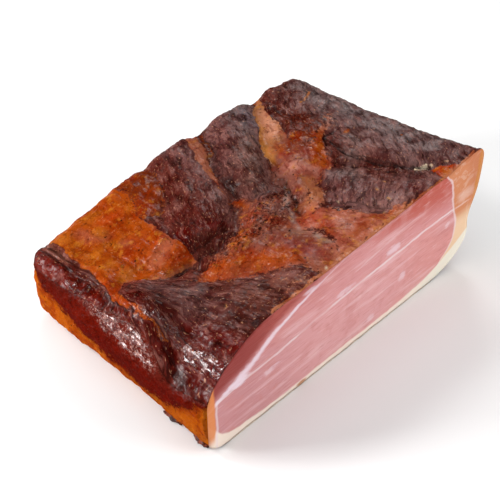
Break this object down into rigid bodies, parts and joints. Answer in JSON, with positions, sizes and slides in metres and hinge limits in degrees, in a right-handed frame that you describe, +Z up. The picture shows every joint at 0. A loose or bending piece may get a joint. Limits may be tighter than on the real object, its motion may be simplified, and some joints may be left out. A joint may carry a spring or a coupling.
{
  "type": "smoked ham",
  "caption": "Boneless block of smoked ham lying on its rind: creased dark top with fat seams, sloping left shoulder, rind curling up at the right, one flat knife cut.",
  "frame": {"origin": "middle of the bounding box, on the flat foot that the ham rests on", "axes": "+X along the knife cut towards the tall end, +Y from the knife cut to the back, +Z up; the knife cut looks along -Y"},
  "size_m": [0.24, 0.164, 0.0899],
  "materials": {
    "smoked_meat": "dark red-brown smoked crust with a greasy sheen, orange smoked fat in its seams; pink lean meat with white fat lines and a cream fat edge on the knife cut"
  },
  "bodies": {
    "root": {"smoked_ham": "smoked_meat"}
  },
  "joints": []
}
